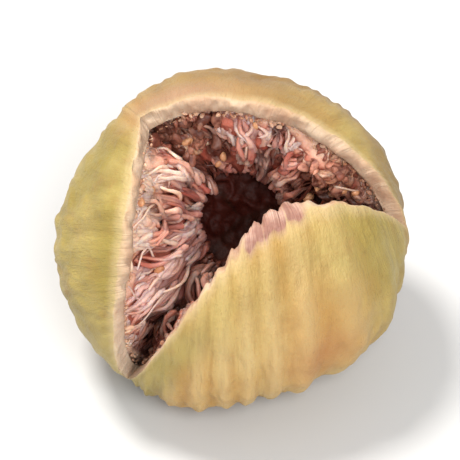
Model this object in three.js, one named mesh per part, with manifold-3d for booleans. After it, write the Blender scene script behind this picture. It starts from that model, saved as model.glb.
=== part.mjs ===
// A sun-dried fig whose eye end burst open into three lobes while it dried.
// The pale rind is folded in ribs that run back to the neck, the split shows the pink-brown
// pulp with its threads and seeds round a dark hollow, and a short stalk sits in the neck.
// Lengths are millimetres and angles are degrees. +Z is up, the fig lies on its pressed
// underside, and the split looks up and to the front, which is -Y.
import * as THREE from "three";
import { mergeVertices } from "three/addons/utils/BufferGeometryUtils.js";
import Module from "manifold-3d";

const wasm = await Module();
wasm.setup();

// Body of the fig, in its own frame: +Z runs from the centre out through the split.
const bodyRadius = 14;
const eyeDepth = 12;
const shoulderDepth = 11.6;
const neckLength = 3.2;
const neckWidth = 4;
const neckBendStart = 8;
const neckBend = 0.05;
const rindThickness = 1.4;
const pieceGap = 0.3;
const pulpGap = 0.42;

// Ribs of the rind. Each runs from the split to the neck and is drawn by a few columns.
const ribHeight = 0.3;
const columnsPerRib = 5;
const ribDrift = 0.3;
const lumpHeight = 0.25;

// Stalk and the socket that holds it.
const neckEndAngle = 7.6;
const stalkRadius = 1.05;
const socketRadius = stalkRadius + pieceGap;
const socketDepth = 1.3;
const stalkLength = 5.2;
const stalkSides = 12;

// The split, on a flat map of the skin: a point's distance from the map's centre is its
// angle from the eye, and its direction is its direction round the eye. Columns of the
// skin run from a lobe's edge to headings at the neck.
const rightCorner = new THREE.Vector2(81, 4);
const upperLeftCorner = new THREE.Vector2(-37, 48);
const lowerLeftCorner = new THREE.Vector2(-55, -74);
const lobes = [
  // The top lobe rolls over the hollow.
  {
    from: rightCorner,
    lean: [new THREE.Vector2(49, 46), new THREE.Vector2(-8, 62)],
    to: upperLeftCorner,
    flare: 0.2,
    headings: [-22, 132],
    headingEase: 0,
    ribs: 10,
    ribSize: 0.5,
    ripple: 0.35,
    swell: 0,
    pulpStart: 0.04,
  },
  // The left lobe is folded back, so that its inner face shows.
  {
    from: upperLeftCorner,
    lean: [new THREE.Vector2(-31, 15), new THREE.Vector2(-37, -23)],
    to: lowerLeftCorner,
    flare: 0.9,
    headings: [132, 235],
    headingEase: 0,
    ribs: 8,
    ribSize: 0.4,
    ripple: 0.3,
    swell: 0,
    pulpStart: 0.03,
  },
  // The lower lobe is the largest and reaches the middle of the split.
  {
    from: lowerLeftCorner,
    lean: [new THREE.Vector2(3, -20), new THREE.Vector2(-3, 29)],
    to: rightCorner,
    flare: 0.7,
    headings: [235, 338],
    headingEase: 0.3,
    ribs: 12,
    ribSize: 0.8,
    ripple: 0.9,
    swell: 0.7,
    pulpStart: 0.07,
  },
];
const flareReach = 0.16;
const rimBulge = 0.45;
const swellPlace = 0.59;
const swellReach = 0.1;
const swellsPerLobe = 15;
const backOfMap = 180;

// Pulp, the hollow in it, and the pockets where it shrank away from the split's corners.
const cornerPulpStart = 0.06;
const hollowCentre = new THREE.Vector3(0.7, 1.9, 0.8);
const hollowRadius = 4.5;
const hollowDepth = 4.8;
const hollowTopAngle = 56;
const wallBlend = 0.55;
const pocketDepth = 1.5;
const seed = 31;
const threadRows = [
  { from: 0.11, reach: 0.15, count: 36 },
  { from: 0.19, reach: 0.16, count: 30 },
  { from: 0.29, reach: 0.15, count: 24 },
];
const threadRadius = 0.38;
const threadTipRadius = 0.3;
const threadLift = 0.7;
const threadSides = 3;
const threadSteps = 2;
const threadSway = 0.05;
const threadSink = 0.35;
const sliverLimit = 0.005;
const seedCount = 16;
const seedSize = new THREE.Vector3(0.75, 0.55, 0.5);

// How the fig lies: its axis rises this far above level, and its underside is pressed flat.
const axisRise = 48;
const centre = new THREE.Vector3(0.13, -1.47, 12.05);
const pressDepth = 1;
const pressCentre = new THREE.Vector2(0, -2.8);
const pressRoundness = 13;
const pressShare = 0.8;

const degrees = THREE.MathUtils.degToRad;

// A smooth body without ribs: the point and the outward normal at an angle from the eye
// and an angle round it, both in radians.
function bodyPoint(fromEye, around) {
  const uneven =
    1 +
    0.022 * Math.cos(2 * around - 0.6) * Math.sin(fromEye) +
    0.014 * Math.cos(3 * around + 0.9) * Math.sin(fromEye);
  const spread = bodyRadius * Math.sin(fromEye) * uneven;
  const depth = Math.cos(fromEye) > 0 ? eyeDepth : shoulderDepth;
  const neck =
    Math.cos(fromEye) > 0 ? 0 : neckLength * Math.exp(-((spread / neckWidth) ** 2));
  return new THREE.Vector3(
    spread * Math.cos(around),
    spread * Math.sin(around),
    depth * Math.cos(fromEye) - neck,
  );
}

function bodyNormal(fromEye, around) {
  const step = 0.01;
  const down = bodyPoint(fromEye + step, around).sub(bodyPoint(fromEye - step, around));
  const round = new THREE.Vector3(-Math.sin(around), Math.cos(around), 0);
  return down.cross(round).normalize();
}

// Height of the ribs and broad lumps above the smooth body. Every other rib is larger, and
// the ribs are lower near the split and run out where they crowd together at the neck.
function reliefAt(column, share, fromEye, around) {
  const front = 0.2 + 0.8 * THREE.MathUtils.smoothstep(share, 0, 0.35);
  const back = Math.cos(fromEye) > 0 ? 1 : Math.sin(fromEye);
  const crowding = THREE.MathUtils.smoothstep(back, 0.08, 0.8);
  const size = THREE.MathUtils.lerp(
    column.ribSize,
    1,
    THREE.MathUtils.smoothstep(share, 0.3, 0.7),
  );
  const rib =
    ribHeight *
    front *
    size *
    (0.8 * Math.cos(column.ribPhase) + 0.35 * Math.cos(column.ribPhase / 2 + 1));
  const lump = lumpHeight * Math.cos(5 * around + 2 * fromEye) * Math.sin(fromEye) ** 2;
  return (rib + lump * THREE.MathUtils.smoothstep(share, 0, 0.2)) * crowding;
}

// Where a column of the skin starts on the edge of the split. side counts the lobes, and
// its fraction is the place along that lobe's edge.
function columnAt(side) {
  const index = Math.floor(side) % lobes.length;
  const share = side - Math.floor(side);
  const lobe = lobes[index];
  const curve = new THREE.CubicBezierCurve(lobe.from, ...lobe.lean, lobe.to);
  const ribPhase = 2 * Math.PI * (lobe.ribs * share + ribDrift * Math.sin(4 * Math.PI * share));
  const bow = Math.sin(Math.PI * share);
  const scallop = Math.abs(Math.cos(Math.PI * swellsPerLobe * share)) ** 0.6;
  const swelling = Math.exp(-(((share - swellPlace) / swellReach) ** 2)) * (0.45 + 0.55 * scallop);
  const eased = THREE.MathUtils.lerp(share, share ** 3, lobe.headingEase);
  return {
    edge: curve.getPoint(share),
    heading: degrees(THREE.MathUtils.lerp(...lobe.headings, eased)),
    bow,
    flare: lobe.flare,
    ripple: lobe.ripple * bow * Math.cos(1.5 * ribPhase + 5 * share),
    swell: lobe.swell * swelling,
    ribPhase,
    ribSize: lobe.ribSize * (0.85 + 0.3 * Math.sin(7 * side + 2 * Math.sin(3 * side))),
    pulpStart: THREE.MathUtils.lerp(cornerPulpStart, lobe.pulpStart, bow),
  };
}

// A point of the skin, share of the way from the split's edge to the map's far circle,
// and as deep under the skin as told. Ribs show on the outside only.
function skinPoint(column, share, depth, farAngle, ribbed) {
  const far = new THREE.Vector2(Math.cos(column.heading), Math.sin(column.heading));
  const near = Math.exp(-((share / flareReach) ** 2));
  const part = share + (column.ripple * near) / farAngle;
  const map = column.edge.clone().lerp(far.multiplyScalar(farAngle), part);
  const fromEye = degrees(map.length());
  const around = map.angle();
  const flare = column.flare * column.bow ** 1.5 * near;
  const point = bodyPoint(fromEye, around);
  if (!ribbed && Math.cos(fromEye) < 0) {
    const spread = Math.hypot(point.x, point.y);
    point.z += neckLength * Math.exp(-((spread / neckWidth) ** 2));
  }
  const relief = ribbed ? reliefAt(column, share, fromEye, around) : 0;
  const height = flare - depth + relief;
  return point.addScaledVector(bodyNormal(fromEye, around), height);
}

// Columns all round the split, evenly spaced along each lobe.
function allColumns() {
  return lobes.flatMap((lobe, index) => {
    const count = lobe.ribs * columnsPerRib;
    return Array.from({ length: count }, (_, i) => columnAt(index + i / count));
  });
}

// A closed surface from rings of points, with one point closing each end.
function ringSolid(firstEnd, rings, lastEnd) {
  const count = rings[0].length;
  const points = [firstEnd, ...rings.flat(), lastEnd];
  const at = (ring, i) => 1 + ring * count + (i % count);
  const faces = [];
  for (let i = 0; i < count; i++) {
    faces.push(0, at(0, i + 1), at(0, i));
    for (let ring = 0; ring + 1 < rings.length; ring++) {
      faces.push(at(ring, i), at(ring, i + 1), at(ring + 1, i));
      faces.push(at(ring, i + 1), at(ring + 1, i + 1), at(ring + 1, i));
    }
    faces.push(points.length - 1, at(rings.length - 1, i), at(rings.length - 1, i + 1));
  }
  const geometry = new THREE.BufferGeometry().setFromPoints(points);
  geometry.setIndex(faces);
  return geometry;
}

// The neck droops back as the fig lies, so points near the stalk swing about a bent line.
function bendNeck(point) {
  const past = Math.max(0, -point.z - neckBendStart);
  const lean = Math.atan(2 * neckBend * past);
  return new THREE.Vector3(
    point.x,
    neckBend * past ** 2 + point.y * Math.cos(lean),
    point.z + point.y * Math.sin(lean),
  );
}

// Turns a point from the fig's own frame to the way it lies, and presses the underside.
function layDown(point) {
  const laid = bendNeck(point).applyAxisAngle(
    new THREE.Vector3(1, 0, 0),
    degrees(90 - axisRise),
  );
  laid.add(centre);
  const away = Math.hypot(laid.x - pressCentre.x, laid.y - pressCentre.y);
  const dent = Math.max(0, pressDepth - away ** 2 / (2 * pressRoundness));
  laid.z += pressShare * dent * Math.max(0, 1 - laid.z / centre.z);
  laid.z = Math.max(0, laid.z);
  return laid;
}

function laidDown(geometry) {
  const place = geometry.getAttribute("position");
  const point = new THREE.Vector3();
  for (let i = 0; i < place.count; i++) {
    const laid = layDown(point.fromBufferAttribute(place, i));
    place.setXYZ(i, laid.x, laid.y, laid.z);
  }
  geometry.computeVertexNormals();
  return geometry;
}

// Rows of shares from the split to the neck, closer together near both ends.
function rowShares(rows, ease) {
  return Array.from({ length: rows }, (_, i) => 1 - (1 - (i + 1) / rows) ** ease);
}

function rindGeometry() {
  const columns = allColumns();
  const neckEnd = backOfMap - neckEndAngle;
  const ring = (make) => columns.map(make);
  const outer = [0.03, ...rowShares(15, 1.5).map((share) => 0.03 + 0.97 * share)]
    .reverse()
    .map((share) => ring((c) => skinPoint(c, share, 0, neckEnd, true)));
  const rim = [0, 0.5, 1].map((part) =>
    ring((c) => {
      const depth = rindThickness * part;
      const point = skinPoint(c, 0, depth, neckEnd, part === 0);
      const inward = point.clone().sub(skinPoint(c, 0.02, depth, neckEnd, part === 0));
      const bulge = (rimBulge * c.bow + c.swell) * Math.sin(Math.PI * part);
      return point.addScaledVector(inward.normalize(), bulge);
    }),
  );
  const inner = rowShares(8, 1.2)
    .slice(0, -1)
    .map((share) => ring((c) => skinPoint(c, share, rindThickness, backOfMap, false)));
  const neckTip = outer[0][0].z;
  const socketRing = (z) =>
    ring(
      (c) =>
        new THREE.Vector3(
          socketRadius * Math.cos(c.heading),
          socketRadius * Math.sin(c.heading),
          z,
        ),
    );
  return ringSolid(
    new THREE.Vector3(0, 0, neckTip + socketDepth),
    [socketRing(neckTip + socketDepth), socketRing(neckTip), ...outer, ...rim, ...inner],
    new THREE.Vector3(0, 0, rindThickness - shoulderDepth),
  );
}

// The torn face of the pulp: from under the rim, share 0, down to the foot of the hollow.
function wallPoint(side, share) {
  const column = columnAt(side);
  const rim = skinPoint(column, column.pulpStart, rindThickness + pulpGap, backOfMap, false);
  const polar = degrees(hollowTopAngle + (180 - hollowTopAngle) * share);
  const spread = hollowRadius * Math.sin(polar);
  const core = new THREE.Vector3(
    spread * Math.cos(column.heading),
    spread * Math.sin(column.heading),
    hollowDepth * Math.cos(polar),
  ).add(hollowCentre);
  const pocket =
    pocketDepth *
    (1 - column.bow) ** 1.5 *
    THREE.MathUtils.smoothstep(share, 0.04, 0.2) *
    (1 - THREE.MathUtils.smoothstep(share, 0.3, wallBlend));
  rim.lerp(core, THREE.MathUtils.smoothstep(share, 0, wallBlend));
  rim.z -= pocket;
  return rim;
}

// Direction off the wall into the open.
function wallNormal(side, share) {
  const step = 0.02;
  const down = wallPoint(side, share + step).sub(wallPoint(side, share));
  const round = wallPoint(side + step, share).sub(wallPoint(side, share));
  return round.cross(down).normalize();
}

function pulpBody() {
  const sides = lobes.flatMap((lobe, index) => {
    const count = lobe.ribs * 2;
    return Array.from({ length: count }, (_, i) => index + i / count);
  });
  const depth = rindThickness + pulpGap;
  const outer = rowShares(6, 1.2)
    .slice(0, -1)
    .reverse()
    .map((share) =>
      sides.map((s) => {
        const column = columnAt(s);
        const place = THREE.MathUtils.lerp(column.pulpStart, 1, share);
        return skinPoint(column, place, depth, backOfMap, false);
      }),
    );
  const wall = Array.from({ length: 8 }, (_, row) =>
    sides.map((s) => wallPoint(s, row / 8)),
  );
  return ringSolid(
    new THREE.Vector3(0, 0, depth - shoulderDepth),
    [...outer, ...wall],
    new THREE.Vector3(0, 0, -hollowDepth).add(hollowCentre),
  );
}

// A closed tube of a few sides that thins to its tip.
function threadGeometry(path, radius, tipRadius) {
  const rings = path.map((point, i) => {
    const before = path[Math.max(0, i - 1)];
    const after = path[Math.min(path.length - 1, i + 1)];
    const along = after.clone().sub(before).normalize();
    const side = new THREE.Vector3(0.31, 0.17, 0.93).cross(along).normalize();
    const up = along.clone().cross(side);
    const size = THREE.MathUtils.lerp(radius, tipRadius, i / (path.length - 1));
    return Array.from({ length: threadSides }, (_, k) => {
      const turn = (2 * Math.PI * k) / threadSides;
      return point
        .clone()
        .addScaledVector(side, size * Math.cos(turn))
        .addScaledVector(up, size * Math.sin(turn));
    });
  });
  return ringSolid(path[0], rings, path.at(-1));
}

// Draws that come out the same each time.
function makeDraw(start) {
  let state = start;
  return () => {
    state = (state * 1664525 + 1013904223) % 4294967296;
    return state / 4294967296;
  };
}

function threads(draw) {
  return threadRows.flatMap((row) =>
    Array.from({ length: row.count }, (_, i) => {
      const side = (lobes.length * (i + 0.7 * draw())) / row.count;
      const sway = threadSway * (2 * draw() - 1);
      const reach = row.reach * (0.8 + 0.4 * draw());
      const lift = threadLift * (0.6 + 0.6 * draw());
      const path = Array.from({ length: threadSteps + 1 }, (_, k) => {
        const part = k / threadSteps;
        const share = row.from + reach * part;
        const off = lift * Math.sin(0.75 * Math.PI * part) - threadSink * (1 - part);
        const place = (side + sway * part + lobes.length) % lobes.length;
        return wallPoint(place, share).addScaledVector(wallNormal(place, share), off);
      });
      return threadGeometry(path, threadRadius, threadTipRadius);
    }),
  );
}

function seeds(draw) {
  return Array.from({ length: seedCount }, (_, i) => {
    const side = (lobes.length * (i + draw())) / seedCount;
    const share = 0.3 + 0.25 * draw();
    const place = wallPoint(side, share).addScaledVector(wallNormal(side, share), 0.15);
    const grain = new THREE.OctahedronGeometry(1, 0);
    grain.scale(seedSize.x, seedSize.y, seedSize.z);
    grain.rotateZ(2 * Math.PI * draw());
    grain.rotateX(Math.PI * draw());
    grain.translate(place.x, place.y, place.z);
    return grain;
  });
}

// Booleans: a closed geometry becomes a solid, and a solid becomes a geometry again.
function solidOf(geometry) {
  const plain = new THREE.BufferGeometry();
  plain.setAttribute("position", geometry.getAttribute("position"));
  plain.setIndex(geometry.index);
  const merged = mergeVertices(plain);
  return new wasm.Manifold(
    new wasm.Mesh({
      numProp: 3,
      vertProperties: merged.getAttribute("position").array,
      triVerts: new Uint32Array(merged.index.array),
    }),
  );
}

function geometryOf(solid) {
  const mesh = solid.getMesh();
  const geometry = new THREE.BufferGeometry();
  geometry.setAttribute("position", new THREE.BufferAttribute(mesh.vertProperties, 3));
  geometry.setIndex(new THREE.BufferAttribute(mesh.triVerts, 1));
  return geometry;
}

function pulpGeometry() {
  const draw = makeDraw(seed);
  const joined = [...threads(draw), ...seeds(draw)]
    .map(solidOf)
    .reduce((whole, piece) => whole.add(piece), solidOf(pulpBody()));
  // The largest part is the pulp. Pockets closed in between crossing threads are filled.
  const parts = joined.decompose().sort((one, other) => other.volume() - one.volume());
  return geometryOf(parts[0].simplify(sliverLimit));
}

// The stalk stands in the socket and carries on along the fig's axis to its cut end.
function stalkGeometry() {
  const neckTip = bodyPoint(degrees(backOfMap - neckEndAngle), 0).z;
  const foot = neckTip + socketDepth - pieceGap;
  const profile = [
    { at: 0, radius: stalkRadius },
    { at: 1, radius: stalkRadius },
    { at: 2.4, radius: stalkRadius * 0.86 },
    { at: 3.8, radius: stalkRadius * 0.84 },
    { at: 4.8, radius: stalkRadius * 1.05 },
    { at: stalkLength, radius: stalkRadius },
  ];
  const rings = profile.map(({ at, radius }) =>
    Array.from({ length: stalkSides }, (_, i) => {
      const turn = (2 * Math.PI * i) / stalkSides;
      return new THREE.Vector3(radius * Math.cos(turn), radius * Math.sin(turn), foot - at);
    }),
  );
  return ringSolid(
    new THREE.Vector3(0, 0, foot - stalkLength),
    rings.reverse(),
    new THREE.Vector3(0, 0, foot),
  );
}

const rindFinish = new THREE.MeshStandardMaterial({ color: 0xd9b878, roughness: 0.6 });
const pulpFinish = new THREE.MeshStandardMaterial({ color: 0x9a5f50, roughness: 0.7 });
const stalkFinish = new THREE.MeshStandardMaterial({ color: 0x8a6844, roughness: 0.8 });

function named(name, geometry, material) {
  const mesh = new THREE.Mesh(laidDown(geometry), material);
  mesh.name = name;
  return mesh;
}

const fig = new THREE.Group();
fig.add(named("rind", rindGeometry(), rindFinish));
fig.add(named("pulp", pulpGeometry(), pulpFinish));
fig.add(named("stalk", stalkGeometry(), stalkFinish));

export default fig;
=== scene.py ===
import math

import bpy
import numpy as np
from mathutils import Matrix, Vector


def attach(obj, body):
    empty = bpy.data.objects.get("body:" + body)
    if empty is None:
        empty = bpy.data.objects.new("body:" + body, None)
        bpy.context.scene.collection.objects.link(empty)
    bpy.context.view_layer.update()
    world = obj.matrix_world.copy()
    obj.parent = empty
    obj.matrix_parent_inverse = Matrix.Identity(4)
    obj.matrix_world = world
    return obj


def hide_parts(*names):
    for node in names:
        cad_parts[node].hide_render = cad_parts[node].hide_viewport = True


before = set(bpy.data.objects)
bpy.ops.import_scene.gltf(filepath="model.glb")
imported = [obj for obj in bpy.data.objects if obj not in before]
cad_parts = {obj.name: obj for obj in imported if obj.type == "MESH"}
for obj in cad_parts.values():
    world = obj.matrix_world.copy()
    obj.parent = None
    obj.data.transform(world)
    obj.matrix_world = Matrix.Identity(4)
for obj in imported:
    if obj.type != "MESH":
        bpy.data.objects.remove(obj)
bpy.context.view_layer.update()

MM = 0.001

# The fig's own frame: millimetres, +Z runs from the body's centre out through the split.
# These values and the shape rules below are the ones that the CAD model was built from.
BODY_RADIUS = 14
EYE_DEPTH = 12
SHOULDER_DEPTH = 11.6
NECK_LENGTH = 3.2
NECK_WIDTH = 4
NECK_BEND_START = 8
NECK_BEND = 0.05
RIND_THICKNESS = 1.4
PIECE_GAP = 0.3
PULP_GAP = 0.42
RIB_HEIGHT = 0.3
LUMP_HEIGHT = 0.25
RIB_DRIFT = 0.3
NECK_END_ANGLE = 7.6
STALK_RADIUS = 1.05
SOCKET_RADIUS = STALK_RADIUS + PIECE_GAP
SOCKET_DEPTH = 1.3
STALK_LENGTH = 5.2
RIGHT_CORNER = (81, 4)
UPPER_LEFT_CORNER = (-37, 48)
LOWER_LEFT_CORNER = (-55, -74)
LOBES = [
    {
        "edge": [RIGHT_CORNER, (49, 46), (-8, 62), UPPER_LEFT_CORNER],
        "flare": 0.2,
        "headings": (-22, 132),
        "heading_ease": 0,
        "ribs": 10,
        "rib_size": 0.5,
        "ripple": 0.35,
        "swell": 0,
        "pulp_start": 0.04,
    },
    {
        "edge": [UPPER_LEFT_CORNER, (-31, 15), (-37, -23), LOWER_LEFT_CORNER],
        "flare": 0.9,
        "headings": (132, 235),
        "heading_ease": 0,
        "ribs": 8,
        "rib_size": 0.4,
        "ripple": 0.3,
        "swell": 0,
        "pulp_start": 0.03,
    },
    {
        "edge": [LOWER_LEFT_CORNER, (3, -20), (-3, 29), RIGHT_CORNER],
        "flare": 0.7,
        "headings": (235, 338),
        "heading_ease": 0.3,
        "ribs": 12,
        "rib_size": 0.8,
        "ripple": 0.9,
        "swell": 0.7,
        "pulp_start": 0.07,
    },
]
FLARE_REACH = 0.16
RIM_BULGE = 0.45
SWELL_PLACE = 0.59
SWELL_REACH = 0.1
SWELLS_PER_LOBE = 15
BACK_OF_MAP = 180
CORNER_PULP_START = 0.06
HOLLOW_CENTRE = np.array([0.7, 1.9, 0.8])
HOLLOW_RADIUS = 4.5
HOLLOW_DEPTH = 4.8
HOLLOW_TOP_ANGLE = 56
WALL_BLEND = 0.55
POCKET_DEPTH = 1.5
AXIS_RISE = 48
CENTRE = np.array([0.13, -1.47, 12.05])
PRESS_DEPTH = 1
PRESS_CENTRE = (0, -2.8)
PRESS_ROUNDNESS = 13
PRESS_SHARE = 0.8
BODY_OVAL = 0.022
BODY_THREE_SIDED = 0.014

# How finely the pieces are built: points round them and rows along them.
RIND_POINTS_PER_RIB = 20
RIND_OUTER_ROWS = 100
RIND_RIM_ROWS = 10
RIND_INNER_ROWS = 24
PULP_POINTS_PER_RIB = 10
PULP_BACK_ROWS = 14
PULP_WALL_ROWS = 110
PULP_WALL_END = 0.985
STRAND_STEPS = 11
STRAND_SIDES = 6
BALL_ROWS = 8
BALL_SIDES = 12
STALK_ROWS = 60
STALK_SIDES = 64

# The stalk from its root to its cut end: distance in millimetres, share of its radius.
STALK_PROFILE = [
    (0, 0.9),
    (0.12, 1),
    (1, 1),
    (1.6, 0.97),
    (2.4, 0.86),
    (3.2, 0.83),
    (3.8, 0.84),
    (4.3, 0.93),
    (4.8, 1.05),
    (5.05, 1.03),
    (STALK_LENGTH, 0.93),
]
# The half sizes in millimetres of the small pieces, before each draws its own bulk.
FLORET_SIZE = np.array([0.3, 0.4, 0.72])
CRUMB_SIZE = np.array([0.28, 0.36, 0.48])
SEED_SIZE = np.array([0.3, 0.38, 0.5])
# Where floret ends crowd together: the side of the middle, how far they spread, how many.
FLORET_CROWDS = [(0.27, 0.08, 80), (0.93, 0.08, 64)]
CRUMB_COUNT = 330
SEED_COUNT = 22
# Where each random draw starts.
STRAND_DRAW = 20
FLORET_DRAW = 44
CRUMB_DRAW = 12
SEED_DRAW = 31

# The skin's tones are picked, then darkened by this, to suit the bright lights.
SKIN_DARKENING = (0.68, 0.68, 0.68, 1)
# How far red, green and blue light go into the fruit, against each other.
SOFT_REACHES = (1.0, 0.55, 0.3)

# The stage, the lights and the camera, in metres and degrees.
FLOOR_REACH = 3
FLOOR_COLOR = (0.54, 0.54, 0.54, 1)
WORLD_STRENGTH = 0.68
LIGHT_TARGET = Vector((0, 0, 0.012))
CAMERA_TARGET = Vector((0, -0.0006, 0.0122))
CAMERA_RISE = 46
CAMERA_DISTANCE = 0.6
CAMERA_NEAREST = 0.01
VIEW_WIDTH = 0.0375


def smooth(value, low, high):
    part = np.clip((value - low) / (high - low), 0, 1)
    return part * part * (3 - 2 * part)


def bell(value, centre, width):
    return np.exp(-(((value - centre) / width) ** 2))


def unit(vectors):
    return vectors / np.maximum(np.linalg.norm(vectors, axis=-1, keepdims=True), 1e-9)


def make_waves(seed, finest):
    """A smooth random field of three-dimensional waves, about -1 to 1, down to the finest
    wavelength in millimetres."""
    draw = np.random.RandomState(seed)
    ways = unit(draw.normal(size=(28, 3)))
    lengths = finest * 2 ** draw.uniform(0, 2, size=(28, 1))
    shifts = draw.uniform(0, 2 * math.pi, size=28)
    return lambda points: (
        np.sin(points @ (ways * 2 * math.pi / lengths).T + shifts).sum(axis=-1) / 5
    )


def body_point(from_eye, around):
    uneven = (
        1
        + BODY_OVAL * np.cos(2 * around - 0.6) * np.sin(from_eye)
        + BODY_THREE_SIDED * np.cos(3 * around + 0.9) * np.sin(from_eye)
    )
    spread = BODY_RADIUS * np.sin(from_eye) * uneven
    depth = np.where(np.cos(from_eye) > 0, EYE_DEPTH, SHOULDER_DEPTH)
    neck = np.where(np.cos(from_eye) > 0, 0, neck_at(spread))
    return np.stack(
        [
            spread * np.cos(around),
            spread * np.sin(around),
            depth * np.cos(from_eye) - neck,
        ],
        axis=-1,
    )


def neck_at(spread):
    return NECK_LENGTH * np.exp(-((spread / NECK_WIDTH) ** 2))


def body_normal(from_eye, around):
    step = 0.01
    down = body_point(from_eye + step, around) - body_point(from_eye - step, around)
    across = np.stack([-np.sin(around), np.cos(around), 0 * around], axis=-1)
    return unit(np.cross(down, across))


def cubic(points, part):
    a, b, c, d = (np.array(p, float) for p in points)
    part = part[..., None]
    rest = 1 - part
    return (
        rest**3 * a + 3 * rest**2 * part * b + 3 * rest * part**2 * c + part**3 * d
    )


def column_at(side):
    """What the split's edge is like at a side: whole numbers count the lobes."""
    side = np.mod(side, len(LOBES))
    which = np.minimum(side.astype(int), len(LOBES) - 1)
    share = side - which
    pick = lambda key: np.array([lobe[key] for lobe in LOBES], float)[which]
    edge = np.zeros(side.shape + (2,))
    heading = np.zeros(side.shape)
    for index, lobe in enumerate(LOBES):
        mask = which == index
        part = share[mask]
        edge[mask] = cubic(lobe["edge"], part)
        eased = part + (part**3 - part) * lobe["heading_ease"]
        start, stop = np.radians(lobe["headings"])
        heading[mask] = start + (stop - start) * eased
    rib_phase = 2 * math.pi * (pick("ribs") * share + RIB_DRIFT * np.sin(4 * math.pi * share))
    bow = np.sin(math.pi * share)
    nibble = 0.2 * np.cos(4.3 * rib_phase + 3 * np.sin(9 * side))
    ripple = pick("ripple") * bow * (np.cos(1.5 * rib_phase + 5 * share) + nibble)
    size = pick("rib_size") * (0.85 + 0.3 * np.sin(7 * side + 2 * np.sin(3 * side)))
    swelling = 0.45 + 0.55 * np.abs(np.cos(math.pi * SWELLS_PER_LOBE * share)) ** 0.6
    swell = pick("swell") * swelling * bell(share, SWELL_PLACE, SWELL_REACH)
    return {
        "edge": edge,
        "heading": heading,
        "bow": bow,
        "pulp_start": CORNER_PULP_START * (1 - bow) + pick("pulp_start") * bow,
        "flare": pick("flare"),
        "ripple": ripple,
        "swell": swell,
        "rib_phase": rib_phase,
        "rib_size": size,
        "side": side,
        "lobe": which,
        "share": share,
    }


def relief_at(column, share, from_eye, around):
    front = 0.2 + 0.8 * smooth(share, 0, 0.35)
    back = np.where(np.cos(from_eye) > 0, 1, np.sin(from_eye))
    crowding = smooth(back, 0.08, 0.8)
    grown = smooth(share, 0.3, 0.7)
    size = column["rib_size"] * (1 - grown) + grown
    phase = column["rib_phase"]
    rib = RIB_HEIGHT * front * size * (0.8 * np.cos(phase) + 0.35 * np.cos(phase / 2 + 1))
    lump = LUMP_HEIGHT * np.cos(5 * around + 2 * from_eye) * np.sin(from_eye) ** 2
    return (rib + lump * smooth(share, 0, 0.2)) * crowding


coarse_waves = make_waves(seed=3, finest=2.4)
fine_waves = make_waves(seed=5, finest=0.8)
knot_waves = make_waves(seed=8, finest=0.55)


def knobbly(points, height, stretch=0.8, shifts=(3, 11, 29)):
    """Points moved a little each way, so that what they shape looks uneven."""
    rough = np.stack([knot_waves(points * stretch + shift) for shift in shifts], axis=-1)
    return points + height * rough


def wrinkles_at(column, share, from_eye, points):
    """Relief too fine for the CAD model: lesser folds between the ribs and small dents."""
    back = np.where(np.cos(from_eye) > 0, 1, np.sin(from_eye))
    crowding = smooth(back, 0.05, 0.6)
    wander = coarse_waves(points)
    folds = np.cos(2 * column["rib_phase"] + 2.6 * wander + 9 * column["share"])
    pinch = np.cos(5 * column["rib_phase"] + 3 * wander) * np.exp(-((share / 0.1) ** 2))
    height = 0.06 * folds * smooth(share, 0, 0.25) + 0.09 * wander
    height = height + 0.02 * pinch + 0.02 * fine_waves(points)
    return height * crowding


def skin_point(side, share, depth, far_angle, ribbed):
    column = column_at(side)
    far = np.stack([np.cos(column["heading"]), np.sin(column["heading"])], axis=-1)
    share = share + 0 * side
    near = np.exp(-((share / FLARE_REACH) ** 2))
    part = (share + column["ripple"] * near / far_angle)[..., None]
    place = column["edge"] * (1 - part) + far_angle * far * part
    from_eye = np.radians(np.linalg.norm(place, axis=-1))
    around = np.arctan2(place[..., 1], place[..., 0])
    flare = column["flare"] * column["bow"] ** 1.5 * near
    point = body_point(from_eye, around)
    height = flare - depth
    if ribbed > 0:
        relief = relief_at(column, share, from_eye, around)
        height = height + ribbed * (relief + wrinkles_at(column, share, from_eye, point))
    else:
        spread = np.hypot(point[..., 0], point[..., 1])
        point[..., 2] += np.where(np.cos(from_eye) < 0, neck_at(spread), 0)
    return point + height[..., None] * body_normal(from_eye, around)


def wall_point(side, share):
    """The torn face of the pulp, from under the rim at 0 to the foot of the hollow at 1."""
    column = column_at(side)
    share = share + 0 * side
    depth = RIND_THICKNESS + PULP_GAP
    rim = skin_point(side, column["pulp_start"], depth, BACK_OF_MAP, 0)
    polar = np.radians(HOLLOW_TOP_ANGLE + (180 - HOLLOW_TOP_ANGLE) * share)
    spread = HOLLOW_RADIUS * np.sin(polar)
    core = HOLLOW_CENTRE + np.stack(
        [
            spread * np.cos(column["heading"]),
            spread * np.sin(column["heading"]),
            HOLLOW_DEPTH * np.cos(polar),
        ],
        axis=-1,
    )
    part = smooth(share, 0, WALL_BLEND)[..., None]
    wall = rim * (1 - part) + core * part
    wall[..., 2] -= POCKET_DEPTH * pocket_at(column, share)
    return wall


def pocket_at(column, share):
    """Where the pulp shrank away from the split's corners, 0 to 1."""
    corner = (1 - column["bow"]) ** 1.5
    return corner * smooth(share, 0.04, 0.2) * (1 - smooth(share, 0.3, WALL_BLEND))


def wall_normal(side, share):
    step = 0.02
    down = wall_point(side, share + step) - wall_point(side, share)
    across = wall_point(side + step, share) - wall_point(side, share)
    return unit(np.cross(across, down))


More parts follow.
